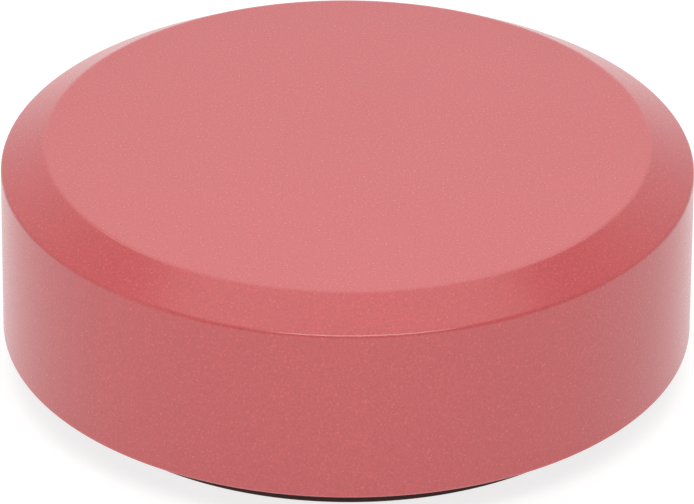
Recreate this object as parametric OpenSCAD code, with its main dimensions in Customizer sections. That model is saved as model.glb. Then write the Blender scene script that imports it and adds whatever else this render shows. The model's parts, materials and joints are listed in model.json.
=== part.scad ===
// Floor curling stone without a handle: a bevelled moulded shell over a dark roller base.
// Millimetres, +Z up. The origin is on the axis, at the level of the floor that the balls stand on.

/* [Shell] */
// Diameter over the side wall
body_d = 286; // [284:1:292]
// Height of the upright side wall
wall_h = 75; // [66:1:82]
// Width of the bevel, seen from above
bevel_run = 18; // [14:1:22]
// Fall of the bevel below level, in degrees
bevel_angle = 30; // [26:1:34]
// Thickness of the side wall
wall_t = 5; // [4:0.5:6]
// Thickness of the roof
roof_t = 6; // [5:0.5:8]
// Radius where the top face turns into the bevel
top_round = 4; // [1:0.5:6]
// Radius where the bevel turns into the side wall
shoulder_round = 2; // [0.6:0.2:3]
// Radius at the lower edge of the side wall
lip_round = 1.5; // [1:0.5:3]

/* [Base] */
// Diameter of the plinth under the shell
plinth_d = 250; // [248:1:252]
// Drop of the plinth below the shell's lower edge
plinth_h = 13; // [12:0.5:15]
// Height of the plinth's underside above the floor
ball_reach = 2.5; // [2:0.25:3]

/* [Rollers] */
// Number of ball rollers
roller_count = 3; // [3:1:3]
// Distance of the rollers from the axis
roller_r = 84; // [80:1:86]
// Diameter of a load ball
ball_d = 25.4; // [25:0.1:26]
// Diameter of a support ball
support_d = 5; // [4.8:0.1:5]

/* [Ballast] */
// Diameter of the iron plate
ballast_d = 200; // [180:5:210]
// Thickness of the iron plate
ballast_t = 22; // [16:1:24]
// Distance of the ballast bolts from the axis
bolt_r = 75; // [70:1:78]

/* [Hidden] */
$fn = 96;
eps = 0.5;     // overrun of a cut past the face it starts from
snug = 0.02;   // gap between a thread and its hole, both drawn plain
coral = "#d36e70";
black = "#1d1b1c";

// Levels above the floor
plinth_z = ball_reach;
lip_z = plinth_z + plinth_h;
shoulder_z = lip_z + wall_h;
top_z = shoulder_z + bevel_run * tan(bevel_angle);
roof_z = top_z - roof_t;

// Shell
body_r = body_d / 2;
inner_r = body_r - wall_t;
top_face_r = body_r - bevel_run;
shoulder_extra = 3.5;
inner_bevel_run = bevel_run - shoulder_extra;
inner_shoulder_z = roof_z - inner_bevel_run * tan(bevel_angle);
gusset_count = 12;
gusset_t = 3;
gusset_r = 100;
gusset_h = 24;
arc_steps = 8;

// Base flange, gasket and the screws that hold the base in the shell
flange_recess = 3;
flange_z = lip_z + flange_recess;
flange_t = 5;
flange_gap = 0.4;
flange_r = inner_r - flange_gap;
gasket_z = flange_z + flange_t;
gasket_t = 1.5;
ledge_z = gasket_z + gasket_t;
ledge_t = 3;
ledge_w = 12;
ledge_r = inner_r - ledge_w;
gasket_inset = 0.5;
base_screw_count = 6;
base_screw_inset = 6.5;
base_screw_r = inner_r - base_screw_inset;
base_screw_hole = 2.3;
boss_r = 7;
boss_h = 26;
boss_roof = 4;
insert_r = 2.9;
insert_bore = 2;
insert_h = 8;

// Base pan
plinth_r = plinth_d / 2;
pan_floor = 5;
pan_wall_t = 9;
pan_wall_r = plinth_r - pan_wall_t;
skirt_t = 4;
rebate_r = plinth_r - skirt_t;
rebate_h = 8;
bead_h = 2;
bead_d = 1.4;
bead_rise = 3.5;
bead_z = plinth_z + bead_rise;
label_r = 36;
label_d = 1.2;
rib_t = 3;
rib_h = 9;

// Rollers
ball_r = ball_d / 2;
support_r = support_d / 2;
race_gap = 0.05;
support_path = ball_r + support_r + race_gap;
cavity_r = support_path + support_r + race_gap;
support_latitudes = [6, 26, 46, 66, 90];
cup_wall = 3.9;
cup_crown = 3.5;
cup_r = cavity_r + cup_wall;
cup_top = ball_r + cavity_r + cup_crown;
cup_gap = 0.2;
roller_flange_r = 29;
cap_recess = 0.5;
cap_z = plinth_z + cap_recess;
cap_t = 2.5;
cup_z = cap_z + cap_t;
cup_flange_t = 2.5;
mouth_inset = 1.5;
mouth_r = ball_r - mouth_inset;
seal_t = 1.8;
seal_inset = 0.9;
seal_in = ball_r - seal_inset;
seal_clearance = 1.8;
seal_out = cavity_r - seal_clearance;
pocket_gap = 0.3;
pocket_r = roller_flange_r + pocket_gap;
pocket_z = cup_z + cup_flange_t;
pocket_roof = 6;
pocket_top = pocket_z + pocket_roof;
pocket_wall = 4.7;
roller_screw_count = 3;
roller_screw_r = 25;
roller_screw_gap = 0.1;
roller_thread = 1.5;
roller_head = 2.8;
roller_head_h = 1.5;
roller_screw_l = 10;

// Ballast and its bolts
standoff_r = 12;
standoff_gap = 1.5;
standoff_z = cup_top + standoff_gap;
isolator_t = 2;
isolator_r = standoff_r - 1;
ballast_z = standoff_z + isolator_t;
ballast_top = ballast_z + ballast_t;
thread_r = 4;
bolt_hole = 4.4;
bolt_head_r = 6.5;
bolt_head_h = 8;
bolt_head_z = cap_z;
bolt_pocket_r = 7.2;
bolt_tail = 3.4;
washer_r = 8;
washer_t = 1.6;
nut_af = 13;
nut_h = 6.5;
bolt_l = ballast_top + washer_t + nut_h + bolt_tail - bolt_head_z - bolt_head_h;
foam_r = 92;
foam_pocket_r = 12;
foam_pocket_h = 16;

function roller_angle(i) = 90 + 360 / roller_count * (i - 1);
function bolt_angle(i) = roller_angle(i) - 180 / roller_count;

// Points of an arc about centre c, from angle a to angle b
function arc(c, r, a, b, steps = arc_steps) =
    [for (i = [0 : steps]) c + r * [cos(a + (b - a) * i / steps), sin(a + (b - a) * i / steps)]];

// Longitudes that fit round the support-ball path at one latitude
function balls_at(latitude) =
    latitude > 85 ? 1 : floor(180 / asin((support_d + race_gap) / (2 * support_path * cos(latitude))));

// Copies the children round the axis, count times at radius r
module around(count, r, start = 0) {
    for (i = [0 : count - 1])
        rotate([0, 0, start + 360 / count * i])
            translate([r, 0, 0])
                children();
}

// Places the children at roller i
module at_roller(i) {
    rotate([0, 0, roller_angle(i)])
        translate([roller_r, 0, 0])
            children();
}

// Places the children at every ballast bolt
module at_bolts() {
    around(roller_count, bolt_r, bolt_angle(1))
        children();
}

// Hexagonal prism, given across flats
module hex(across_flats, height) {
    cylinder(r = across_flats / sqrt(3), h = height, $fn = 6);
}

module ring(outer, inner, height) {
    difference() {
        cylinder(r = outer, h = height);
        translate([0, 0, -eps])
            cylinder(r = inner, h = height + 2 * eps);
    }
}

// Half section of the shell: roof, bevel, side wall and lip
module shell_section() {
    top_tangent = top_round * tan(bevel_angle / 2);
    shoulder_turn = 90 - bevel_angle;
    shoulder_tangent = shoulder_round * tan(shoulder_turn / 2);
    polygon(concat(
        [[0, roof_z], [0, top_z]],
        arc([top_face_r - top_tangent, top_z - top_round], top_round, 90, shoulder_turn),
        arc([body_r - shoulder_round, shoulder_z - shoulder_tangent],
            shoulder_round, shoulder_turn, 0),
        arc([body_r - lip_round, lip_z + lip_round], lip_round, 0, -90),
        [
            [inner_r, lip_z],
            [inner_r, inner_shoulder_z],
            [inner_r - inner_bevel_run, roof_z]
        ]
    ));
}

// Rib in the angle between the roof and the side wall
module gusset() {
    rotate([90, 0, 0])
        translate([0, 0, -gusset_t / 2])
            linear_extrude(gusset_t)
                polygon([
                    [gusset_r, roof_z + eps],
                    [inner_r - inner_bevel_run, roof_z + eps],
                    [inner_r + eps, inner_shoulder_z + eps],
                    [inner_r + eps, roof_z - gusset_h]
                ]);
}

module top_shell() {
    color(coral)
        difference() {
            union() {
                rotate_extrude($fn = 180)
                    shell_section();
                for (i = [0 : gusset_count - 1])
                    rotate([0, 0, 360 / gusset_count * (i + 0.5)])
                        gusset();
                translate([0, 0, ledge_z])
                    ring(inner_r + eps, ledge_r, ledge_t);
                translate([0, 0, ledge_z])
                    around(base_screw_count, base_screw_r)
                        cylinder(r = boss_r, h = boss_h);
            }
            translate([0, 0, ledge_z - eps])
                around(base_screw_count, base_screw_r)
                    cylinder(r = insert_r, h = insert_h + eps);
            translate([0, 0, ledge_z])
                around(base_screw_count, base_screw_r)
                    cylinder(r = insert_bore, h = boss_h - boss_roof);
        }
}

module shell_inserts() {
    color("goldenrod")
        translate([0, 0, ledge_z])
            around(base_screw_count, base_screw_r)
                ring(insert_r, insert_bore, insert_h);
}

module roof_foam() {
    color("dimgray")
        difference() {
            translate([0, 0, ballast_top])
                cylinder(r = foam_r, h = roof_z - ballast_top);
            translate([0, 0, ballast_top - eps])
                at_bolts()
                    cylinder(r = foam_pocket_r, h = foam_pocket_h + eps);
        }
}

module ballast_plate() {
    edge = 1.5;
    color("slategray")
        difference() {
            translate([0, 0, ballast_z])
                rotate_extrude()
                    polygon([
                        [0, 0],
                        [ballast_d / 2 - edge, 0],
                        [ballast_d / 2, edge],
                        [ballast_d / 2, ballast_t - edge],
                        [ballast_d / 2 - edge, ballast_t],
                        [0, ballast_t]
                    ]);
            translate([0, 0, ballast_z - eps])
                at_bolts()
                    cylinder(r = bolt_hole, h = ballast_t + 2 * eps);
        }
}

module ballast_isolators() {
    color("black")
        translate([0, 0, standoff_z])
            at_bolts()
                ring(isolator_r, bolt_hole, isolator_t);
}

module ballast_bolt() {
    socket_d = 4;
    socket_af = 6;
    difference() {
        union() {
            translate([0, 0, bolt_head_z])
                cylinder(r = bolt_head_r, h = bolt_head_h);
            translate([0, 0, bolt_head_z + bolt_head_h])
                cylinder(r = thread_r, h = bolt_l);
        }
        translate([0, 0, bolt_head_z - eps])
            hex(socket_af, socket_d + eps);
    }
}

module ballast_bolts() {
    color("silver")
        at_bolts()
            ballast_bolt();
}

module ballast_washers() {
    color("silver")
        translate([0, 0, ballast_top])
            at_bolts()
                ring(washer_r, bolt_hole, washer_t);
}

module ballast_nuts() {
    color("silver")
        translate([0, 0, ballast_top + washer_t])
            at_bolts()
                difference() {
                    hex(nut_af, nut_h);
                    translate([0, 0, -eps])
                        cylinder(r = thread_r + snug, h = nut_h + 2 * eps);
                }
}

// Half section of the base pan: floor, plinth wall with the skirt's rebate, and flange
module pan_section() {
    polygon([
        [0, plinth_z + label_d],
        [label_r, plinth_z + label_d],
        [label_r + label_d, plinth_z],
        [rebate_r, plinth_z],
        [rebate_r, bead_z],
        [rebate_r - bead_d, bead_z],
        [rebate_r - bead_d, bead_z + bead_h],
        [rebate_r, bead_z + bead_h],
        [rebate_r, plinth_z + rebate_h],
        [plinth_r, plinth_z + rebate_h],
        [plinth_r, flange_z],
        [flange_r, flange_z],
        [flange_r, gasket_z],
        [pan_wall_r, gasket_z],
        [pan_wall_r, plinth_z + pan_floor],
        [0, plinth_z + pan_floor]
    ]);
}

// Stiffening rib on the pan's floor, from the axis to the wall
module pan_rib() {
    translate([0, -rib_t / 2, plinth_z + pan_floor - eps])
        cube([pan_wall_r + eps, rib_t, rib_h + eps]);
}

module base_pan() {
    color(black)
        difference() {
            union() {
                rotate_extrude($fn = 180)
                    pan_section();
                for (i = [1 : roller_count]) {
                    rotate([0, 0, roller_angle(i)])
                        pan_rib();
                    rotate([0, 0, bolt_angle(i)])
                        pan_rib();
                    translate([0, 0, plinth_z])
                        at_roller(i)
                            cylinder(r = pocket_r + pocket_wall, h = pocket_top - plinth_z);
                }
                translate([0, 0, plinth_z + label_d])
                    at_bolts()
                        cylinder(r = standoff_r, h = standoff_z - plinth_z - label_d);
            }
            for (i = [1 : roller_count])
                at_roller(i) {
                    translate([0, 0, plinth_z - eps])
                        cylinder(r = pocket_r, h = pocket_z - plinth_z + eps);
                    translate([0, 0, plinth_z])
                        cylinder(r = cup_r + cup_gap, h = standoff_z);
                    translate([0, 0, plinth_z])
                        around(roller_screw_count, roller_screw_r)
                            cylinder(r = roller_thread + snug, h = pocket_top - plinth_z - 1, $fn = 32);
                }
            at_bolts() {
                translate([0, 0, plinth_z - eps])
                    cylinder(r = bolt_pocket_r, h = bolt_head_z + bolt_head_h - plinth_z + eps);
                translate([0, 0, plinth_z])
                    cylinder(r = bolt_hole, h = standoff_z);
            }
            translate([0, 0, flange_z - eps])
                around(base_screw_count, base_screw_r)
                    cylinder(r = base_screw_hole, h = flange_t + 2 * eps);
        }
}

module base_gasket() {
    color("black")
        translate([0, 0, gasket_z])
            difference() {
                ring(flange_r, ledge_r + gasket_inset, gasket_t);
                translate([0, 0, -eps])
                    around(base_screw_count, base_screw_r)
                        cylinder(r = base_screw_hole, h = gasket_t + 2 * eps);
            }
}

module base_screw() {
    head_r = 3.8;
    head_h = 2.6;
    length = 16;
    socket_af = 2.5;
    socket_d = 1.6;
    difference() {
        union() {
            translate([0, 0, flange_z - head_h])
                cylinder(r = head_r, h = head_h);
            translate([0, 0, flange_z])
                cylinder(r = insert_bore - snug, h = length);
        }
        translate([0, 0, flange_z - head_h - eps])
            hex(socket_af, socket_d + eps);
    }
}

module base_screws() {
    color("silver")
        around(base_screw_count, base_screw_r)
            base_screw();
}

// Rubber band in the plinth's rebate, held by a bead in the groove
module skirt_ring() {
    edge = 1;
    fit = 0.1;
    color("#151414")
        rotate_extrude($fn = 180)
            polygon(concat(
                [[rebate_r, plinth_z]],
                arc([plinth_r - edge, plinth_z + edge], edge, -90, 0),
                [
                    [plinth_r, plinth_z + rebate_h],
                    [rebate_r, plinth_z + rebate_h],
                    [rebate_r, bead_z + bead_h - fit],
                    [rebate_r - bead_d + fit, bead_z + bead_h - fit],
                    [rebate_r - bead_d + fit, bead_z + fit],
                    [rebate_r, bead_z + fit]
                ]
            ));
}

module roller_cup(i) {
    color("lightgray")
        at_roller(i)
            difference() {
                union() {
                    translate([0, 0, cup_z])
                        cylinder(r = roller_flange_r, h = cup_flange_t);
                    translate([0, 0, cup_z])
                        cylinder(r = cup_r, h = cup_top - cup_z);
                }
                translate([0, 0, ball_r])
                    sphere(r = cavity_r);
                translate([0, 0, cup_z - eps])
                    around(roller_screw_count, roller_screw_r)
                        cylinder(r = roller_thread + roller_screw_gap,
                            h = cup_flange_t + 2 * eps, $fn = 32);
            }
}

// Support balls between the load ball and the cup, in rings from the equator to the pole
module support_balls(i) {
    color("silver")
        at_roller(i)
            translate([0, 0, ball_r])
                for (latitude = support_latitudes)
                    for (k = [0 : balls_at(latitude) - 1])
                        rotate([0, -latitude, 360 / balls_at(latitude) * k])
                            translate([support_path, 0, 0])
                                sphere(r = support_r, $fn = 24);
}

module roller_ball(i) {
    color("silver")
        at_roller(i)
            translate([0, 0, ball_r])
                sphere(r = ball_r);
}

module roller_seal(i) {
    color("gray")
        at_roller(i)
            translate([0, 0, cup_z])
                ring(seal_out, seal_in, seal_t);
}

// Plate that keeps the ball in its cup, with countersinks for its screws
module roller_cap(i) {
    sink_r1 = roller_head + roller_screw_gap;
    sink_r2 = roller_thread + roller_screw_gap;
    color("silver")
        at_roller(i)
            translate([0, 0, cap_z])
                difference() {
                    ring(roller_flange_r, mouth_r, cap_t);
                    around(roller_screw_count, roller_screw_r) {
                        translate([0, 0, -eps])
                            cylinder(r = sink_r2, h = cap_t + 2 * eps, $fn = 32);
                        cylinder(r1 = sink_r1, r2 = sink_r2, h = roller_head_h, $fn = 32);
                        translate([0, 0, -eps])
                            cylinder(r = sink_r1, h = eps, $fn = 32);
                    }
                }
}

module roller_screw() {
    socket_af = 2;
    socket_d = 1;
    difference() {
        union() {
            cylinder(r1 = roller_head, r2 = roller_thread, h = roller_head_h, $fn = 32);
            cylinder(r = roller_thread, h = roller_screw_l, $fn = 32);
        }
        translate([0, 0, -eps])
            hex(socket_af, socket_d + eps);
    }
}

module roller_screws() {
    color("silver")
        for (i = [1 : roller_count])
            at_roller(i)
                translate([0, 0, cap_z])
                    around(roller_screw_count, roller_screw_r)
                        roller_screw();
}

top_shell();
shell_inserts();
roof_foam();
ballast_plate();
ballast_isolators();
ballast_bolts();
ballast_washers();
ballast_nuts();
base_pan();
base_gasket();
base_screws();
skirt_ring();
roller_screws();
roller_cup(1);  // roller_cup_1
roller_cup(2);  // roller_cup_2
roller_cup(3);  // roller_cup_3
support_balls(1);  // support_balls_1
support_balls(2);  // support_balls_2
support_balls(3);  // support_balls_3
roller_ball(1);  // roller_ball_1
roller_ball(2);  // roller_ball_2
roller_ball(3);  // roller_ball_3
roller_seal(1);  // roller_seal_1
roller_seal(2);  // roller_seal_2
roller_seal(3);  // roller_seal_3
roller_cap(1);  // roller_cap_1
roller_cap(2);  // roller_cap_2
roller_cap(3);  // roller_cap_3
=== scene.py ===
"""A floor curling stone without a handle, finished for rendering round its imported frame."""

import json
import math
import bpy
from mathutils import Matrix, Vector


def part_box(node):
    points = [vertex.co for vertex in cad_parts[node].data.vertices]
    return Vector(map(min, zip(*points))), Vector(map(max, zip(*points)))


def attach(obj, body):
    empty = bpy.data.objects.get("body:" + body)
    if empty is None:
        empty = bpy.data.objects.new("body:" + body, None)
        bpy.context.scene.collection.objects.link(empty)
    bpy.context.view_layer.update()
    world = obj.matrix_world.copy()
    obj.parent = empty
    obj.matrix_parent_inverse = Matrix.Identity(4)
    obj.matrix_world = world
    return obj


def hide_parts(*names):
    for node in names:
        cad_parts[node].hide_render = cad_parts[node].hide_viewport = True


bl_info = {
    "name": "Floor Curling Stone",
    "version": (1, 0, 0),
    "blender": (4, 5, 0),
    "location": "View3D > Sidebar > Stone",
    "description": "Builds the shell, base, rollers and ballast of a floor curling stone",
    "category": "Object",
}

import bmesh
import bpy
from bpy.props import FloatProperty, FloatVectorProperty, PointerProperty
from mathutils import Matrix, Vector

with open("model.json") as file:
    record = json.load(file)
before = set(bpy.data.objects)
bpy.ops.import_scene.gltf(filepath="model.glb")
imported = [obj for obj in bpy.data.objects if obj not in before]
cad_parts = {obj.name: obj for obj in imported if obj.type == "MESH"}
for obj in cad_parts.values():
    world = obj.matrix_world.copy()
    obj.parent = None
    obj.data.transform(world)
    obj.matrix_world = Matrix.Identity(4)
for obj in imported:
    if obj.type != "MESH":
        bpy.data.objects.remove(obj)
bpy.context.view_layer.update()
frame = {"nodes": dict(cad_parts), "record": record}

STONE = "stone"
MM = 0.001
ROLLERS = (1, 2, 3)

# Steps round a turned piece, by its size.
ROUND_STEPS = 288
SMALL_STEPS = 96
POST_STEPS = 64
SCREW_STEPS = 48
HOLE_STEPS = 32

# Points nearer than this are one point.
WELD = 0.001 * MM
# Edges that turn more than this are drawn sharp.
SHARP = math.radians(32)
# A face is level when the upright part of its normal is at least this.
LEVEL = 0.9999
# How far a shape runs past the surface that it cuts or joins.
PAST = 1 * MM
# How far a rib or gusset runs into the wall that it joins.
LAP = 0.5 * MM
# The point that every light faces.
AIM = (0, 0, 0.06)
# Each light's name, place, width and depth, and the setting that holds its power.
LIGHTS = (
    ("overhead", (-0.02, 0.24, 1.0), (1.1, 0.95), "overhead"),
    ("forward_light", (0.05, -0.62, 0.92), (0.8, 0.4), "forward"),
    ("back_light", (0.0, 1.6, 0.95), (1.6, 1.6), "backdrop"),
    ("side_light", (-1.5, -0.7, 0.6), (1.0, 1.0), "side_light"),
)
# The stretch of each axis of a direction over which the surroundings change brightness.
BEHIND_FADE = (-0.5, 0.7)
BESIDE_FADE = (0.25, 0.85)
ABOVE_FADE = (0.45, 0.9)


def high(node):
    """Height of a node's top."""
    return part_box(node)[1].z


def low(node):
    """Height of a node's underside."""
    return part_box(node)[0].z


def top_reach(node):
    """Half the width of a node's topmost face."""
    level = high(node) - 0.01 * MM
    across = [vert.co.x for vert in frame["nodes"][node].data.vertices if vert.co.z > level]
    return (max(across) - min(across)) / 2


def middle(node):
    """Centre of a node's box."""
    lowest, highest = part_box(node)
    return (lowest + highest) / 2


def reach(node):
    """Half the width of a node, along X."""
    lowest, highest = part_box(node)
    return (highest.x - lowest.x) / 2


def depth_reach(node):
    """Half the depth of a node, along Y."""
    lowest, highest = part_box(node)
    return (highest.y - lowest.y) / 2


def solids(node):
    """Lowest and highest corner of each separate solid of a node, in order round the axis."""
    joined = bmesh.new()
    joined.from_mesh(frame["nodes"][node].data)
    bmesh.ops.remove_doubles(joined, verts=joined.verts, dist=WELD)
    left = set(joined.verts)
    found = []
    while left:
        group = [left.pop()]
        for vert in group:
            for edge in vert.link_edges:
                other = edge.other_vert(vert)
                if other in left:
                    left.remove(other)
                    group.append(other)
        axes = list(zip(*(vert.co for vert in group)))
        found.append((Vector(map(min, axes)), Vector(map(max, axes))))
    joined.free()
    return sorted(found, key=lambda box: (round(box[0].z, 6), math.atan2(box[0].y, box[0].x)))


def centres(node):
    """Centre of each separate solid of a node, in order round the axis."""
    return [(lowest + highest) / 2 for lowest, highest in solids(node)]


class ShellShape(bpy.types.PropertyGroup):
    """Sizes of the moulded shell"""

    wall: FloatProperty(
        name="Wall", description="Thickness of the side wall", default=5 * MM, unit="LENGTH")
    roof: FloatProperty(
        name="Roof", description="Thickness of the roof", default=6 * MM, unit="LENGTH")
    bevel: FloatProperty(
        name="Bevel", description="Width of the bevel, seen from above",
        default=18 * MM, unit="LENGTH")
    bevel_angle: FloatProperty(
        name="Bevel angle", description="Fall of the bevel below level",
        default=math.radians(30), subtype="ANGLE")
    top_round: FloatProperty(
        name="Top round", description="Radius where the top face turns into the bevel",
        default=4 * MM, unit="LENGTH")
    shoulder_round: FloatProperty(
        name="Shoulder round", description="Radius where the bevel turns into the wall",
        default=2 * MM, unit="LENGTH")
    lip_round: FloatProperty(
        name="Lip round", description="Radius at the wall's lower edge",
        default=1.5 * MM, unit="LENGTH")
    ledge: FloatProperty(
        name="Ledge", description="Width of the ledge that the base is screwed to",
        default=12 * MM, unit="LENGTH")


class BaseShape(bpy.types.PropertyGroup):
    """Sizes of the base under the shell"""

    floor: FloatProperty(
        name="Floor", description="Thickness of the pan's floor", default=5 * MM, unit="LENGTH")
    wall: FloatProperty(
        name="Wall", description="Thickness of the pan's wall", default=9 * MM, unit="LENGTH")
    flange: FloatProperty(
        name="Flange", description="Thickness of the flange", default=5 * MM, unit="LENGTH")
    rebate_depth: FloatProperty(
        name="Rebate depth", description="Thickness of the rubber skirt",
        default=4 * MM, unit="LENGTH")
    label_radius: FloatProperty(
        name="Label radius", description="Radius of the shallow recess in the middle",
        default=36 * MM, unit="LENGTH")
    label_depth: FloatProperty(
        name="Label depth", description="Depth of the shallow recess in the middle",
        default=1.2 * MM, unit="LENGTH")
    rib_height: FloatProperty(
        name="Rib height", description="Height of the ribs on the pan's floor",
        default=9 * MM, unit="LENGTH")


class StoneFinish(bpy.types.PropertyGroup):
    """Colours and grain of the stone's materials"""

    coral: FloatVectorProperty(
        name="Coral", description="Colour of the shell", subtype="COLOR",
        default=(0.60, 0.102, 0.109), min=0, max=1)
    # The skirt's colour carries a painted red reflection of the coral shell on top of the dark
    # rubber.
    rubber: FloatVectorProperty(
        name="Rubber", description="Colour of the skirt", subtype="COLOR",
        default=(0.044, 0.014, 0.011), min=0, max=1)
    black: FloatVectorProperty(
        name="Black", description="Colour of the base pan", subtype="COLOR",
        default=(0.020, 0.016, 0.015), min=0, max=1)
    grain: FloatProperty(
        name="Grain", description="Width of the moulded grain",
        default=0.9 * MM, unit="LENGTH")


class StudioSetup(bpy.types.PropertyGroup):
    """Camera and lights"""

    distance: FloatProperty(
        name="Distance", description="Level distance from the stone's axis to the camera",
        default=2.86, unit="LENGTH")
    height: FloatProperty(
        name="Height", description="Height of the camera above the floor",
        default=1.6659, unit="LENGTH")
    pitch: FloatProperty(
        name="Pitch", description="Tilt of the camera below level",
        default=math.radians(29.49), subtype="ANGLE")
    roll: FloatProperty(
        name="Roll", description="Turn of the camera about its own line of sight",
        default=math.radians(0.36), subtype="ANGLE")
    lens: FloatProperty(
        name="Lens", description="Focal length in millimetres", default=410.6)
    front: FloatProperty(
        name="Front", description="Brightness of the surroundings on the camera's side",
        default=0.20)
    behind: FloatProperty(
        name="Behind", description="Brightness of the surroundings behind the stone",
        default=1.00)
    beside: FloatProperty(
        name="Beside", description="Share of that brightness left at either side", default=0.7)
    above: FloatProperty(
        name="Above", description="Share of that brightness left straight above", default=0.15)
    overhead: FloatProperty(
        name="Overhead", description="Power of the soft light above the stone, in watts",
        default=4.4)
    forward: FloatProperty(
        name="Forward light", description="Power of the soft light above the camera's side, in watts",
        default=5.8)
    backdrop: FloatProperty(
        name="Back light", description="Power of the soft light behind the stone, in watts",
        default=2.0)
    side_light: FloatProperty(
        name="Side light", description="Power of the soft light to the left, in watts",
        default=2.0)
    glow: FloatProperty(
        name="Floor glow", description="Brightness of the floor's own light", default=0.80)
    floor_width: FloatProperty(
        name="Floor", description="Width of the floor", default=12.0, unit="LENGTH")


# ---------------------------------------------------------------- shapes


def arc(centre, radius, start, end, steps):
    """Points (r, z) of an arc between two angles in degrees."""
    turns = [math.radians(start + (end - start) * i / steps) for i in range(steps + 1)]
    return [(centre[0] + radius * math.cos(t), centre[1] + radius * math.sin(t)) for t in turns]


def held(outline, closed):
    """The outline with a point just inside each end of its long straight stretches."""
    margin = 0.4 * MM
    points = []
    pairs = list(zip(outline, outline[1:] + outline[:1]))
    if not closed:
        pairs = pairs[:-1]
    for near, far in pairs:
        points.append(near)
        gap = math.dist(near, far)
        if gap > 4 * margin:
            for share in (margin / gap, 1 - margin / gap):
                points.append(tuple(a + (b - a) * share for a, b in zip(near, far)))
    if not closed:
        points.append(outline[-1])
    return points


def lathe(outline, steps=ROUND_STEPS, closed=True):
    """A bmesh turned from an outline of (r, z) points about the Z axis."""
    solid = bmesh.new()
    verts = [solid.verts.new((r, 0, z)) for r, z in held(outline, closed)]
    edges = [solid.edges.new(pair) for pair in zip(verts, verts[1:])]
    if closed:
        edges.append(solid.edges.new((verts[-1], verts[0])))
    bmesh.ops.spin(
        solid, geom=verts + edges, cent=(0, 0, 0), axis=(0, 0, 1),
        angle=math.tau, steps=steps, use_merge=True)
    bmesh.ops.remove_doubles(solid, verts=solid.verts, dist=WELD)
    bmesh.ops.recalc_face_normals(solid, faces=solid.faces)
    return solid


def prism(radius, bottom, top, sides):
    """A bmesh of an upright prism about the Z axis."""
    solid = bmesh.new()
    bmesh.ops.create_cone(
        solid, cap_ends=True, segments=sides, radius1=radius, radius2=radius,
        depth=top - bottom,
        matrix=Matrix.Translation((0, 0, (top + bottom) / 2)))
    return solid


def copied(solid, places):
    """A bmesh with a copy of solid at each place; solid is freed."""
    source = bpy.data.meshes.new("copy source")
    solid.to_mesh(source)
    solid.free()
    many = bmesh.new()
    for place in places:
        before = len(many.verts)
        many.from_mesh(source)
        many.verts.ensure_lookup_table()
        bmesh.ops.transform(many, matrix=place, verts=many.verts[before:])
    bpy.data.meshes.remove(source)
    return many


def upright(points):
    """Matrices that move a shape to points without changing its height."""
    return [Matrix.Translation((point.x, point.y, 0)) for point in points]


def turned(count, start):
    """Matrices that turn a shape to evenly spaced places round the axis."""
    return [Matrix.Rotation(start + math.tau * i / count, 4, "Z") for i in range(count)]


def piece(name, solid, body, slot, nodes):
    """Makes an object from a bmesh, with its slot's material, and puts it on its body."""
    mesh = bpy.data.meshes.new(name)
    solid.to_mesh(mesh)
    solid.free()
    mesh.polygons.foreach_set("use_smooth", [True] * len(mesh.polygons))
    mesh.set_sharp_from_angle(angle=SHARP)
    mesh.materials.append(finish_of(slot))
    made = bpy.data.objects.new(name, mesh)
    bpy.context.scene.collection.objects.link(made)
    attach(made, body)
    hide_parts(*nodes)
    return made


def joined(solid, other, operation="UNION"):
    """A bmesh of two shapes added, or with the other's shape taken out; both are freed."""
    parts = []
    for name, shape in (("join body", solid), ("join tool", other)):
        mesh = bpy.data.meshes.new(name)
        shape.to_mesh(mesh)
        shape.free()
        part = bpy.data.objects.new(name, mesh)
        bpy.context.scene.collection.objects.link(part)
        parts.append(part)
    boolean = parts[0].modifiers.new("Join", "BOOLEAN")
    boolean.operation = operation
    boolean.solver = "EXACT"
    boolean.object = parts[1]
    graph = bpy.context.evaluated_depsgraph_get()
    result = bmesh.new()
    result.from_mesh(parts[0].evaluated_get(graph).to_mesh())
    for part in parts:
        mesh = part.data
        bpy.data.objects.remove(part)
        bpy.data.meshes.remove(mesh)
    bmesh.ops.remove_doubles(result, verts=result.verts, dist=WELD)
    return result


def cut(solid, cutter):
    """A bmesh of solid with the cutter's shape taken out; both are freed."""
    return joined(solid, cutter, "DIFFERENCE")


def flattened(solid):
    """Joins the faces of flat stretches into one."""
    flat = math.radians(0.2)
    bmesh.ops.dissolve_limit(solid, angle_limit=flat, verts=solid.verts, edges=solid.edges)
    return solid


def eased(solid, width, chosen):
    """Rounds the sharp edges that the chosen rule picks by both their ends."""
    corner = math.radians(50)
    edges = [
        edge for edge in solid.edges
        if len(edge.link_faces) == 2
        and edge.calc_face_angle(0) > corner
        and all(chosen(vert.co) for vert in edge.verts)
    ]
    bmesh.ops.bevel(
        solid, geom=edges, offset=width, offset_type="OFFSET", affect="EDGES",
        segments=3, profile=0.5, material=-1, clamp_overlap=True)
    return solid


def gussets(roof, inner, inner_run, drop):
    """The ribs in the angle between the shell's roof and its wall."""
    count, half, start, height = 12, 1.5 * MM, 100 * MM, 24 * MM
    corners = [
        (start, roof + LAP), (inner - inner_run, roof + LAP),
        (inner + LAP, roof - inner_run * drop + LAP), (inner + LAP, roof - height),
    ]
    rib = bmesh.new()
    face = rib.faces.new([rib.verts.new((x, -half, z)) for x, z in corners])
    grown = bmesh.ops.extrude_face_region(rib, geom=[face])
    moved = [item for item in grown["geom"] if isinstance(item, bmesh.types.BMVert)]
    bmesh.ops.translate(rib, verts=moved, vec=(0, 2 * half, 0))
    bmesh.ops.recalc_face_normals(rib, faces=rib.faces)
    return copied(rib, turned(count, math.pi / count))


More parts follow.
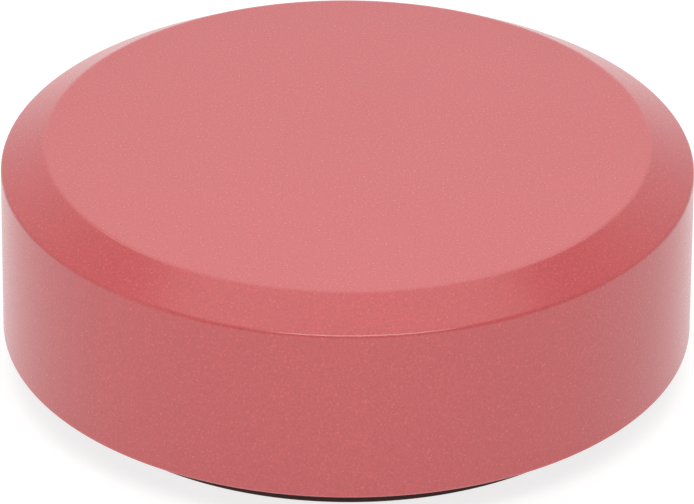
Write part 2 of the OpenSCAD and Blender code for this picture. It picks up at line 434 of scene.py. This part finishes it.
def ribs(shape, inner, floor_top, rollers):
    """The stiffening ribs on the pan's floor."""
    half, height = 1.5 * MM, shape.rib_height
    rib = bmesh.new()
    bmesh.ops.create_cube(rib, size=1)
    bmesh.ops.scale(rib, vec=(inner + LAP, 2 * half, height + LAP), verts=rib.verts)
    bmesh.ops.translate(
        rib, vec=((inner + LAP) / 2, 0, floor_top + (height - LAP) / 2), verts=rib.verts)
    places = turned(2 * len(rollers), math.atan2(rollers[0].y, rollers[0].x))
    whole = copied(rib.copy(), places[:1])
    for place in places[1:]:
        whole = joined(whole, copied(rib.copy(), [place]))
    rib.free()
    return whole


def thread(radius, bottom, top, pitch, depth):
    """Points (r, z) up the side of a threaded shank, drawn as rings."""
    turns = int((top - bottom) / pitch)
    points = []
    for i in range(turns):
        points.append((radius, bottom + (i + 0.25) * pitch))
        points.append((radius - depth, bottom + (i + 0.75) * pitch))
    return points


# ---------------------------------------------------------------- materials


class Finish:
    """A material's node tree, with short calls for the nodes that the finishes share."""

    def __init__(self, name, roughness, metallic=0.0, ior=1.5):
        self.material = bpy.data.materials.new(name)
        self.material.use_nodes = True
        self.nodes = self.material.node_tree.nodes
        self.links = self.material.node_tree.links
        self.shader = self.nodes["Principled BSDF"]
        self.shader.inputs["Roughness"].default_value = roughness
        self.shader.inputs["Metallic"].default_value = metallic
        self.shader.inputs["IOR"].default_value = ior
        self.place = self.nodes.new("ShaderNodeTexCoord").outputs["Object"]
        self.surface = None

    def noise(self, width, detail, stretch=(1, 1, 1)):
        """Noise whose features are about width across."""
        mapping = self.nodes.new("ShaderNodeMapping")
        mapping.inputs["Scale"].default_value = stretch
        self.links.new(self.place, mapping.inputs["Vector"])
        noise = self.nodes.new("ShaderNodeTexNoise")
        noise.inputs["Scale"].default_value = 1 / width
        noise.inputs["Detail"].default_value = detail
        self.links.new(mapping.outputs["Vector"], noise.inputs["Vector"])
        return noise.outputs["Fac"]

    def ramp(self, factor, stops):
        """Two colours at two places along a factor."""
        ramp = self.nodes.new("ShaderNodeValToRGB")
        for element, (position, colour) in zip(ramp.color_ramp.elements, stops):
            element.position = position
            element.color = (*colour, 1)
        self.links.new(factor, ramp.inputs["Fac"])
        return ramp.outputs["Color"]

    def mix(self, factor, first, second, blend="MIX"):
        """Two colours mixed; the factor is an output or a number."""
        mix = self.nodes.new("ShaderNodeMix")
        mix.data_type = "RGBA"
        mix.blend_type = blend
        if isinstance(factor, float):
            mix.inputs["Factor"].default_value = factor
        else:
            self.links.new(factor, mix.inputs["Factor"])
        for socket, colour in ((mix.inputs["A"], first), (mix.inputs["B"], second)):
            if isinstance(colour, tuple):
                socket.default_value = (*colour, 1)
            else:
                self.links.new(colour, socket)
        return mix.outputs["Result"]

    def spread(self, factor, lowest, highest, start=0.3, end=0.7):
        """A factor stretched to a range."""
        spread = self.nodes.new("ShaderNodeMapRange")
        spread.inputs["From Min"].default_value = start
        spread.inputs["From Max"].default_value = end
        spread.inputs["To Min"].default_value = lowest
        spread.inputs["To Max"].default_value = highest
        self.links.new(factor, spread.inputs["Value"])
        return spread.outputs["Result"]

    def colour(self, output):
        """Takes the surface's colour from an output."""
        self.links.new(output, self.shader.inputs["Base Color"])

    def rough(self, output):
        """Takes the surface's roughness from an output."""
        self.links.new(output, self.shader.inputs["Roughness"])

    def relief(self, height, depth):
        """Adds a bump of a real depth to those already there."""
        bump = self.nodes.new("ShaderNodeBump")
        bump.inputs["Strength"].default_value = 1.0
        bump.inputs["Distance"].default_value = depth
        self.links.new(height, bump.inputs["Height"])
        if self.surface:
            self.links.new(self.surface, bump.inputs["Normal"])
        self.surface = bump.outputs["Normal"]
        self.links.new(self.surface, self.shader.inputs["Normal"])


def shade(colour, factor):
    """A colour made lighter or darker."""
    return tuple(min(1.0, c * factor) for c in colour)


def coral_plastic():
    """Matte moulded plastic with a fine speckled grain."""
    settings = bpy.context.scene.stone_finish
    coral = tuple(settings.coral)
    made = Finish("coral plastic", roughness=0.24, ior=1.56)
    grain = made.noise(settings.grain, detail=3.0)
    clouds = made.noise(60 * MM, detail=3.0)
    speckle = made.ramp(grain, [(0.3, shade(coral, 0.88)), (0.7, shade(coral, 1.12))])
    drift = made.ramp(clouds, [(0.3, (0.975, 0.97, 0.97)), (0.7, (1.0, 1.0, 1.0))])
    made.colour(made.mix(1.0, speckle, drift, "MULTIPLY"))
    made.rough(made.spread(grain, 0.21, 0.28))
    made.relief(grain, 0.012 * MM)
    return made.material


def black_plastic():
    """Matte black moulded plastic with dust in its grain."""
    settings = bpy.context.scene.stone_finish
    black = tuple(settings.black)
    made = Finish("black plastic", roughness=0.5)
    made.shader.inputs["Specular IOR Level"].default_value = 0.35
    grain = made.noise(0.7 * MM, detail=3.0)
    dust = made.noise(25 * MM, detail=4.0)
    body = made.ramp(grain, [(0.3, shade(black, 0.8)), (0.7, shade(black, 1.3))])
    made.colour(made.mix(made.spread(dust, 0.0, 0.12), body, (0.075, 0.070, 0.066)))
    made.rough(made.spread(dust, 0.42, 0.62))
    made.relief(grain, 0.02 * MM)
    return made.material


def skirt_rubber():
    """Dark rubber, dulled where it has rubbed, with a painted red reflection of the coral shell in
    its colour.
    """
    settings = bpy.context.scene.stone_finish
    # The red in this colour is a painted reflection of the shell, not the rubber's own colour.
    rubber = tuple(settings.rubber)
    made = Finish("skirt rubber", roughness=0.6)
    made.shader.inputs["Specular IOR Level"].default_value = 0.2
    scuff = made.noise(3 * MM, detail=5.0, stretch=(1, 1, 3))
    made.colour(made.ramp(scuff, [(0.4, shade(rubber, 0.9)), (0.75, shade(rubber, 1.9))]))
    made.rough(made.spread(scuff, 0.52, 0.75))
    made.relief(scuff, 0.015 * MM)
    return made.material


def sheet_rubber():
    """Black sheet rubber with a dusty bloom."""
    made = Finish("sheet rubber", roughness=0.75)
    bloom = made.noise(4 * MM, detail=4.0)
    made.colour(made.ramp(bloom, [(0.35, (0.018, 0.018, 0.018)), (0.75, (0.045, 0.044, 0.042))]))
    made.rough(made.spread(bloom, 0.65, 0.85))
    made.relief(bloom, 0.02 * MM)
    return made.material


def cast_iron():
    """Sand-cast iron under a thin grey primer."""
    made = Finish("cast iron", roughness=0.6, metallic=0.6)
    sand = made.noise(1.2 * MM, detail=6.0)
    stain = made.noise(30 * MM, detail=5.0)
    grey = made.ramp(sand, [(0.3, (0.075, 0.078, 0.082)), (0.7, (0.15, 0.155, 0.16))])
    made.colour(made.mix(made.spread(stain, 0.0, 0.35, 0.5, 0.8), grey, (0.13, 0.06, 0.03)))
    made.rough(made.spread(sand, 0.5, 0.75))
    made.relief(sand, 0.12 * MM)
    return made.material


def turned_brass():
    """Turned brass with fine tool marks round it."""
    made = Finish("turned brass", roughness=0.3, metallic=1.0)
    marks = made.noise(0.3 * MM, detail=2.0, stretch=(0.2, 0.2, 3))
    made.colour(made.ramp(marks, [(0.3, (0.62, 0.42, 0.16)), (0.7, (0.78, 0.56, 0.24))]))
    made.rough(made.spread(marks, 0.22, 0.38))
    made.relief(marks, 0.01 * MM)
    return made.material


def zinc_plate():
    """Zinc-plated steel, a little mottled."""
    made = Finish("zinc plate", roughness=0.32, metallic=1.0)
    spangle = made.noise(1.5 * MM, detail=4.0)
    made.colour(made.ramp(spangle, [(0.3, (0.46, 0.47, 0.49)), (0.7, (0.64, 0.65, 0.67))]))
    made.rough(made.spread(spangle, 0.24, 0.42))
    made.relief(spangle, 0.004 * MM)
    return made.material


def pressed_steel():
    """Pressed and plated sheet steel with faint rolling lines."""
    made = Finish("pressed steel", roughness=0.36, metallic=1.0)
    lines = made.noise(0.5 * MM, detail=3.0, stretch=(0.06, 1, 1))
    smudge = made.noise(9 * MM, detail=4.0)
    steel = made.ramp(lines, [(0.3, (0.42, 0.43, 0.44)), (0.7, (0.58, 0.59, 0.60))])
    made.colour(made.mix(made.spread(smudge, 0.0, 0.25), steel, (0.36, 0.35, 0.33)))
    made.rough(made.spread(smudge, 0.28, 0.46))
    made.relief(lines, 0.003 * MM)
    return made.material


def ball_steel():
    """Polished ball steel with hairline scratches from the floor."""
    made = Finish("ball steel", roughness=0.14, metallic=1.0)
    hairs = made.noise(0.6 * MM, detail=5.0, stretch=(0.15, 1, 2))
    made.colour(made.ramp(hairs, [(0.35, (0.58, 0.58, 0.59)), (0.7, (0.70, 0.70, 0.71))]))
    made.rough(made.spread(hairs, 0.10, 0.24))
    made.relief(hairs, 0.001 * MM)
    return made.material


def seal_felt():
    """Grey pressed felt."""
    made = Finish("seal felt", roughness=0.95)
    fibre = made.noise(0.35 * MM, detail=6.0, stretch=(1, 1, 0.4))
    made.shader.inputs["Sheen Weight"].default_value = 0.4
    made.colour(made.ramp(fibre, [(0.3, (0.20, 0.20, 0.19)), (0.7, (0.40, 0.39, 0.37))]))
    made.relief(fibre, 0.15 * MM)
    return made.material


def grey_foam():
    """Closed-cell foam with fine open bubbles at its cut faces."""
    made = Finish("grey foam", roughness=0.9)
    cells = made.nodes.new("ShaderNodeTexVoronoi")
    cells.inputs["Scale"].default_value = 1 / (1.2 * MM)
    made.links.new(made.place, cells.inputs["Vector"])
    cell = cells.outputs["Distance"]
    made.colour(made.ramp(cell, [(0.05, (0.05, 0.05, 0.055)), (0.5, (0.13, 0.13, 0.14))]))
    made.relief(cell, 0.2 * MM)
    return made.material


def studio_white():
    """Pale matte studio floor that glows, and is clear from below."""
    made = Finish("studio white", roughness=0.7)
    paper = made.noise(40 * MM, detail=3.0)
    made.colour(made.ramp(paper, [(0.3, (0.31, 0.31, 0.31)), (0.7, (0.33, 0.33, 0.33))]))
    made.shader.inputs["Emission Color"].default_value = (1, 1, 1, 1)
    made.shader.inputs["Emission Strength"].default_value = bpy.context.scene.studio_setup.glow
    side = made.nodes.new("ShaderNodeNewGeometry").outputs["Backfacing"]
    clear = made.nodes.new("ShaderNodeBsdfTransparent")
    choice = made.nodes.new("ShaderNodeMixShader")
    made.links.new(side, choice.inputs["Fac"])
    made.links.new(made.shader.outputs["BSDF"], choice.inputs[1])
    made.links.new(clear.outputs["BSDF"], choice.inputs[2])
    made.links.new(choice.outputs["Shader"], made.nodes["Material Output"].inputs["Surface"])
    return made.material


MATERIALS = {
    "coral_shell": coral_plastic,
    "black_base": black_plastic,
    "skirt_rubber": skirt_rubber,
    "black_rubber": sheet_rubber,
    "roof_foam": grey_foam,
    "iron_ballast": cast_iron,
    "brass_inserts": turned_brass,
    "zinc_fasteners": zinc_plate,
    "pressed_steel": pressed_steel,
    "ball_steel": ball_steel,
    "seal_felt": seal_felt,
}
finished = {}


def finish_of(slot):
    """The material of one of the record's slots, made once."""
    if slot not in finished:
        finished[slot] = MATERIALS[slot]()
    return finished[slot]


# ---------------------------------------------------------------- operators


class STONE_OT_shell(bpy.types.Operator):
    """Turns the moulded shell, with its bosses and gussets inside"""

    bl_idname = "stone.shell"
    bl_label = "Shell"

    def execute(self, context):
        shape = context.scene.shell_shape
        outer = reach("top_shell")
        top, lip = high("top_shell"), low("top_shell")
        roof = top - shape.roof
        inner = outer - shape.wall
        drop = math.tan(shape.bevel_angle)
        shoulder = top - shape.bevel * drop
        inner_inset, inner_round, ledge_thickness = 3.5 * MM, 0.8 * MM, 3 * MM
        inner_run = shape.bevel - inner_inset
        ledge_low = high("base_gasket")
        ledge_high = ledge_low + ledge_thickness
        ledge_edge = outer - shape.wall - shape.ledge
        angle = math.degrees(shape.bevel_angle)
        top_tangent = shape.top_round * math.tan(shape.bevel_angle / 2)
        turn = 90 - angle
        shoulder_tangent = shape.shoulder_round * math.tan(math.radians(turn / 2))
        outline = [(0, top)]
        outline += arc(
            (outer - shape.bevel - top_tangent, top - shape.top_round),
            shape.top_round, 90, turn, 16)
        outline += arc(
            (outer - shape.shoulder_round, shoulder - shoulder_tangent),
            shape.shoulder_round, turn, 0, 12)
        outline += arc(
            (outer - shape.lip_round, lip + shape.lip_round), shape.lip_round, 0, -90, 12)
        outline += arc((inner + inner_round, lip + inner_round), inner_round, 270, 180, 6)
        outline += [
            (inner, ledge_low),
            (ledge_edge, ledge_low),
            (ledge_edge, ledge_high),
            (inner, ledge_high),
            (inner, roof - inner_run * drop),
            (inner - inner_run, roof),
            (0, roof),
        ]
        shell = lathe(outline, closed=False)
        holes = centres("shell_inserts")
        boss, boss_height, boss_roof, pilot = 7 * MM, 26 * MM, 4 * MM, 2 * MM
        boss_low = ledge_low + PAST
        boss_top = ledge_low + boss_height
        bosses = copied(
            lathe([(0, boss_low), (boss, boss_low), (boss, boss_top), (0, boss_top)],
                  SCREW_STEPS, closed=False),
            upright(holes))
        shell = joined(shell, bosses)
        shell = joined(shell, gussets(roof, inner, inner_run, drop))
        insert = reach("shell_inserts") - max(abs(hole.x) for hole in holes)
        insert_top = high("shell_inserts")
        bore_low, bore_top = ledge_low - PAST, boss_top - boss_roof
        bores = copied(
            lathe([(0, bore_low), (insert, bore_low), (insert, insert_top),
                   (pilot, insert_top), (pilot, bore_top), (0, bore_top)],
                  HOLE_STEPS, closed=False),
            upright(holes))
        piece("shell", cut(shell, bores), STONE, "coral_shell", ["top_shell"])
        return {"FINISHED"}


class STONE_OT_foam(bpy.types.Operator):
    """Makes the foam block between the ballast and the roof"""

    bl_idname = "stone.foam"
    bl_label = "Roof foam"

    def execute(self, context):
        radius, bottom, top = reach("roof_foam"), low("roof_foam"), high("roof_foam")
        edge, pocket, pocket_depth = 3 * MM, 12 * MM, 16 * MM
        outline = [(0, bottom)]
        outline += arc((radius - edge, bottom + edge), edge, -90, 0, 6)
        outline += arc((radius - edge, top - edge), edge, 0, 90, 6)
        outline += [(0, top)]
        pockets = copied(
            prism(pocket, bottom - PAST, bottom + pocket_depth, SCREW_STEPS),
            upright(centres("ballast_nuts")))
        block = cut(lathe(outline, SMALL_STEPS, closed=False), pockets)
        foam = piece("foam_block", flattened(block), STONE, "roof_foam", ["roof_foam"])
        return {"FINISHED"}


class STONE_OT_base(bpy.types.Operator):
    """Makes the base pan with its pockets, posts and ribs"""

    bl_idname = "stone.base"
    bl_label = "Base pan"

    def execute(self, context):
        shape = context.scene.base_shape
        bottom = low("base_pan")
        plinth = reach("skirt_ring")
        flange = reach("base_pan")
        flange_top = low("base_gasket")
        flange_bottom = flange_top - shape.flange
        rebate = plinth - shape.rebate_depth
        rebate_top = high("skirt_ring")
        bead_low, bead_high, bead = bottom + 3.5 * MM, bottom + 5.5 * MM, 1.4 * MM
        inner = plinth - shape.wall
        floor_top = bottom + shape.floor
        soft = 0.6 * MM
        outline = [
            (0, bottom + shape.label_depth),
            (shape.label_radius, bottom + shape.label_depth),
            (shape.label_radius + shape.label_depth, bottom),
            (rebate, bottom),
            (rebate, bead_low),
            (rebate - bead, bead_low),
            (rebate - bead, bead_high),
            (rebate, bead_high),
            (rebate, rebate_top),
            (plinth, rebate_top),
        ]
        outline += arc((plinth + soft, flange_bottom - soft), soft, 180, 90, 5)
        outline += arc((flange - soft, flange_bottom + soft), soft, -90, 0, 5)
        outline += arc((flange - soft, flange_top - soft), soft, 0, 90, 5)
        outline += [(inner, flange_top), (inner, floor_top), (0, floor_top)]
        pan = lathe(outline, closed=False)
        rollers = [middle(f"roller_cap_{i}") for i in ROLLERS]
        bolts = centres("ballast_bolts")
        cup_gap, pocket_gap, pocket_roof = 0.2 * MM, 0.3 * MM, 2.5 * MM
        cup = top_reach("roller_cup_1") + cup_gap
        pocket = depth_reach("roller_cap_1") + pocket_gap
        pocket_top = high("roller_cap_1") + pocket_roof
        boss_roof, boss_wall, post = 6 * MM, 4.7 * MM, 12 * MM
        boss_top = pocket_top + boss_roof
        post_top = low("ballast_isolators")
        posts = copied(prism(post, floor_top - PAST, post_top, POST_STEPS), upright(bolts))
        bosses = copied(
            prism(pocket + boss_wall, floor_top - PAST, boss_top, SMALL_STEPS),
            upright(rollers))
        pan = joined(pan, posts)
        pan = joined(pan, bosses)
        pan = joined(pan, ribs(shape, inner, floor_top, rollers))
        under = bottom - PAST
        pockets = copied(
            lathe([(0, under), (pocket, under), (pocket, pocket_top),
                   (cup, pocket_top), (cup, post_top), (0, post_top)],
                  SMALL_STEPS, closed=False),
            upright(rollers))
        head, head_height, shank, screw = 7.2 * MM, 8 * MM, 4.4 * MM, 2.3 * MM
        head_top = low("ballast_bolts") + head_height
        bores = copied(
            lathe([(0, under), (head, under), (head, head_top),
                   (shank, head_top), (shank, post_top + PAST), (0, post_top + PAST)],
                  POST_STEPS, closed=False),
            upright(bolts))
        screws = copied(
            prism(screw, flange_bottom - PAST, flange_top + PAST, HOLE_STEPS),
            upright(centres("base_screws")))
        for tool in (pockets, bores, screws):
            pan = cut(pan, tool)
        edge, bottom_level, kept_rim = 0.5 * MM, bottom + 0.05 * MM, rebate - 2 * MM
        pan = eased(flattened(pan), edge,
                    lambda co: co.z < bottom_level and co.xy.length < kept_rim)
        tray = piece("base_tray", pan, STONE, "black_base", ["base_pan"])
        for face in tray.data.polygons:
            face.use_smooth = abs(face.normal.z) < LEVEL
        return {"FINISHED"}


class STONE_OT_skirt(bpy.types.Operator):
    """Turns the rubber skirt in the base's rebate"""

    bl_idname = "stone.skirt"
    bl_label = "Skirt"

    def execute(self, context):
        shape = context.scene.base_shape
        bottom, top, outer = low("skirt_ring"), high("skirt_ring"), reach("skirt_ring")
        inner = outer - shape.rebate_depth
        edge, soft = 1.0 * MM, 0.25 * MM
        bead_low, bead_high, bead = bottom + 3.6 * MM, bottom + 5.4 * MM, 1.3 * MM
        outline = [(inner, bottom)]
        outline += arc((outer - edge, bottom + edge), edge, -90, 0, 8)
        outline += arc((outer - soft, top - soft), soft, 0, 90, 4)
        outline += [
            (inner, top), (inner, bead_high), (inner - bead, bead_high),
            (inner - bead, bead_low), (inner, bead_low),
        ]
        piece("skirt", lathe(outline), STONE, "skirt_rubber", ["skirt_ring"])
        return {"FINISHED"}


class STONE_OT_caps(bpy.types.Operator):
    """Makes the three roller caps with rolled mouths and countersinks"""

    bl_idname = "stone.caps"
    bl_label = "Roller caps"

    def execute(self, context):
        screws = centres("roller_screws")
        mouth_inset, rolled, soft = 1.5 * MM, 0.9 * MM, 0.3 * MM
        head, hole, sink = 2.9 * MM, 1.6 * MM, 1.5 * MM
        for i in ROLLERS:
            node = f"roller_cap_{i}"
            centre = middle(node)
            bottom, top, outer = low(node), high(node), depth_reach(node)
            mouth = high(f"roller_ball_{i}") / 2 - mouth_inset
            outline = arc((mouth + rolled, bottom + rolled), rolled, 180, 270, 6)
            outline += arc((outer - soft, bottom + soft), soft, -90, 0, 4)
            outline += [(outer, top), (mouth, top)]
            cap = lathe(outline, SMALL_STEPS)
            bmesh.ops.transform(cap, matrix=upright([centre])[0], verts=cap.verts)
            near = [c for c in screws if (c.xy - centre.xy).length < outer]
            sinks = copied(
                lathe([(0, bottom - PAST), (head, bottom - PAST), (head, bottom),
                       (hole, bottom + sink), (hole, top + PAST), (0, top + PAST)],
                      SCREW_STEPS, closed=False),
                upright(near))
            piece(f"cap_{i}", cut(cap, sinks), STONE, "pressed_steel", [node])
        return {"FINISHED"}


class STONE_OT_screws(bpy.types.Operator):
    """Makes the screws and bolts with their sockets and threads"""

    bl_idname = "stone.screws"
    bl_label = "Screws and bolts"

    def execute(self, context):
        self.base_screws()
        self.roller_screws()
        self.ballast_bolts()
        return {"FINISHED"}

    def base_screws(self):
        """Makes the screws that hold the base in the shell."""
        bottom, top = low("base_screws"), high("base_screws")
        head, shank, tip = 3.8 * MM, 1.98 * MM, 1.2 * MM
        pitch, depth, head_height, end = 0.7 * MM, 0.3 * MM, 2.6 * MM, 0.5 * MM
        under = bottom + head_height
        outline = self.round_head(bottom, head)
        outline += [(head, under), (shank, under)]
        outline += thread(shank, under + MM, top - end, pitch, depth)
        outline += [(tip, top), (0, top)]
        self.screws("base_screw_set", "base_screws", outline, 2.5 * MM, 1.6 * MM)

    def roller_screws(self):
        """Makes the countersunk screws of the roller units."""
        bottom, top = low("roller_screws"), high("roller_screws")
        face, head, land, shank, tip = 2.7 * MM, 2.8 * MM, 0.1 * MM, 1.5 * MM, 0.9 * MM
        pitch, depth, head_height, start, end = 0.5 * MM, 0.2 * MM, 1.5 * MM, 2 * MM, 0.5 * MM
        outline = [(0, bottom), (face, bottom), (head, bottom + land)]
        outline += [(shank, bottom + head_height)]
        outline += thread(shank, bottom + start, top - end, pitch, depth)
        outline += [(tip, top), (0, top)]
        self.screws("roller_screw_set", "roller_screws", outline, 2 * MM, 1 * MM)

    def ballast_bolts(self):
        """Makes the bolts that hold the ballast plate."""
        bottom, top = low("ballast_bolts"), high("ballast_bolts")
        head, shank, tip = 6.5 * MM, 4 * MM, 2.8 * MM
        pitch, depth, head_height = 1.25 * MM, 0.5 * MM, 8 * MM
        plain_end, thread_start = top - 24 * MM, top - 23.5 * MM
        under = bottom + head_height
        outline = self.round_head(bottom, head)
        outline += [(head, under), (shank, under), (shank, plain_end)]
        outline += thread(shank, thread_start, top - MM, pitch, depth)
        outline += [(tip, top), (0, top)]
        self.screws("ballast_bolt_set", "ballast_bolts", outline, 6 * MM, 4 * MM)

    def round_head(self, bottom, head):
        """The face of a cylinder head and the round at its edge."""
        soft = 0.8 * MM
        return [(0, bottom)] + arc((head - soft, bottom + soft), soft, -90, 0, 5)

    def screws(self, name, node, outline, across_flats, socket_depth):
        """Makes one screw with a hexagon socket and copies it to its places."""
        bottom = outline[0][1]
        socket = prism(across_flats / math.sqrt(3), bottom - PAST, bottom + socket_depth, 6)
        screw = cut(lathe(outline, SCREW_STEPS, closed=False), socket)
        screw = copied(screw, upright(centres(node)))
        piece(name, screw, STONE, "zinc_fasteners", [node])


class STONE_OT_support_balls(bpy.types.Operator):
    """Makes the small balls that the load balls turn on"""

    bl_idname = "stone.support_balls"
    bl_label = "Support balls"

    def execute(self, context):
        for i in ROLLERS:
            node = f"support_balls_{i}"
            boxes = solids(node)
            radius = (boxes[0][1].z - boxes[0][0].z) / 2
            ball = bmesh.new()
            bmesh.ops.create_icosphere(ball, subdivisions=2, radius=radius)
            places = [Matrix.Translation((lowest + highest) / 2) for lowest, highest in boxes]
            piece(f"small_balls_{i}", copied(ball, places), STONE, "ball_steel", [node])
        return {"FINISHED"}


class STONE_OT_balls(bpy.types.Operator):
    """Makes the three load balls"""

    bl_idname = "stone.balls"
    bl_label = "Load balls"

    def execute(self, context):
        for i in ROLLERS:
            node = f"roller_ball_{i}"
            solid = bmesh.new()
            bmesh.ops.create_icosphere(
                solid, subdivisions=5, radius=reach(node),
                matrix=Matrix.Translation(middle(node)))
            piece(f"load_ball_{i}", solid, f"ball_{i}", "ball_steel", [node])
        return {"FINISHED"}


class STONE_OT_carried(bpy.types.Operator):
    """Gives the CAD pieces that stay their finishes"""

    bl_idname = "stone.carried"
    bl_label = "Carried pieces"

    def execute(self, context):
        for row in frame["record"]["subparts"]:
            node = frame["nodes"][row["node"]]
            if node.hide_render:
                continue
            node.data.materials.clear()
            node.data.materials.append(finish_of(row["material_slot"]))
        return {"FINISHED"}


class STONE_OT_stage(bpy.types.Operator):
    """Sets out the floor, the lights and the camera"""

    bl_idname = "stone.stage"
    bl_label = "Stage"

    def execute(self, context):
        studio = context.scene.studio_setup
        solid = bmesh.new()
        bmesh.ops.create_grid(
            solid, x_segments=2, y_segments=2, size=studio.floor_width / 2)
        mesh = bpy.data.meshes.new("floor")
        solid.to_mesh(mesh)
        solid.free()
        mesh.materials.append(studio_white())
        floor = bpy.data.objects.new("floor", mesh)
        context.scene.collection.objects.link(floor)
        self.surround(context, studio)
        for name, place, size, setting in LIGHTS:
            self.light(context, name, place, size, getattr(studio, setting))
        self.camera(context, studio)
        return {"FINISHED"}

    def surround(self, context, studio):
        """Lights the scene from all round, by how far a direction is behind, beside and above."""
        world = bpy.data.worlds.new("surround")
        world.use_nodes = True
        background = world.node_tree.nodes["Background"]
        background.inputs["Color"].default_value = (1, 1, 1, 1)
        tree = world.node_tree
        direction = tree.nodes.new("ShaderNodeTexCoord").outputs["Generated"]
        split = tree.nodes.new("ShaderNodeSeparateXYZ")
        aside = tree.nodes.new("ShaderNodeMath")
        aside.operation = "ABSOLUTE"
        tree.links.new(direction, split.inputs["Vector"])
        tree.links.new(split.outputs["X"], aside.inputs[0])
        depth = self.fade(tree, split.outputs["Y"], BEHIND_FADE, (studio.front, studio.behind))
        width = self.fade(tree, aside.outputs["Value"], BESIDE_FADE, (1.0, studio.beside))
        height = self.fade(tree, split.outputs["Z"], ABOVE_FADE, (1.0, studio.above))
        strength = self.product(tree, self.product(tree, depth, width), height)
        tree.links.new(strength, background.inputs["Strength"])
        context.scene.world = world
        context.scene.view_settings.view_transform = "Standard"
        context.scene.view_settings.look = "None"

    def fade(self, tree, output, source, target):
        """An output eased from one range to another."""
        eased = tree.nodes.new("ShaderNodeMapRange")
        eased.interpolation_type = "SMOOTHSTEP"
        for name, value in zip(("From Min", "From Max", "To Min", "To Max"), source + target):
            eased.inputs[name].default_value = value
        tree.links.new(output, eased.inputs["Value"])
        return eased.outputs["Result"]

    def product(self, tree, first, second):
        """Two outputs multiplied."""
        times = tree.nodes.new("ShaderNodeMath")
        times.operation = "MULTIPLY"
        tree.links.new(first, times.inputs[0])
        tree.links.new(second, times.inputs[1])
        return times.outputs["Value"]

    def light(self, context, name, place, size, power):
        """Adds a rectangular light that faces the stone."""
        lamp = bpy.data.lights.new(name, "AREA")
        lamp.shape = "RECTANGLE"
        lamp.size, lamp.size_y = size
        lamp.energy = power
        holder = bpy.data.objects.new(name, lamp)
        holder.location = place
        aim = Vector(AIM) - Vector(place)
        holder.rotation_mode = "QUATERNION"
        holder.rotation_quaternion = aim.to_track_quat("-Z", "Y")
        context.scene.collection.objects.link(holder)

    def camera(self, context, studio):
        """Adds the camera on the stone's near side."""
        lens = bpy.data.cameras.new("camera")
        lens.lens = studio.lens
        lens.sensor_width = 36
        lens.clip_start = 0.1
        lens.clip_end = 30
        holder = bpy.data.objects.new("camera", lens)
        tilt = Matrix.Rotation(math.pi / 2 - studio.pitch, 4, "X")
        roll = Matrix.Rotation(studio.roll, 4, "Z")
        holder.matrix_world = (
            Matrix.Translation((0, -studio.distance, studio.height)) @ tilt @ roll)
        context.scene.collection.objects.link(holder)
        context.scene.camera = holder


class STONE_PT_panel(bpy.types.Panel):
    """Lists the stone's pieces in the sidebar"""

    bl_idname = "STONE_PT_panel"
    bl_label = "Floor curling stone"
    bl_space_type = "VIEW_3D"
    bl_region_type = "UI"
    bl_category = "Stone"

    def draw(self, context):
        for group in SETTINGS:
            settings = getattr(context.scene, group)
            for name in settings.__annotations__:
                self.layout.prop(settings, name)
        for operator in OPERATORS:
            self.layout.operator(operator.bl_idname)


SETTINGS = {
    "shell_shape": ShellShape,
    "base_shape": BaseShape,
    "stone_finish": StoneFinish,
    "studio_setup": StudioSetup,
}
OPERATORS = (
    STONE_OT_shell,
    STONE_OT_foam,
    STONE_OT_base,
    STONE_OT_skirt,
    STONE_OT_caps,
    STONE_OT_screws,
    STONE_OT_support_balls,
    STONE_OT_balls,
    STONE_OT_carried,
    STONE_OT_stage,
)


def register():
    """Registers the settings, operators and panel."""
    for name, group in SETTINGS.items():
        bpy.utils.register_class(group)
        setattr(bpy.types.Scene, name, PointerProperty(type=group))
    for entry in (*OPERATORS, STONE_PT_panel):
        bpy.utils.register_class(entry)


def unregister():
    """Removes what register added."""
    for entry in (STONE_PT_panel, *reversed(OPERATORS)):
        bpy.utils.unregister_class(entry)
    for name, group in SETTINGS.items():
        delattr(bpy.types.Scene, name)
        bpy.utils.unregister_class(group)


def main():
    """Builds every piece in order."""
    register()
    for operator in OPERATORS:
        group, name = operator.bl_idname.split(".")
        getattr(getattr(bpy.ops, group), name)()


if __name__ == "__main__":
    main()
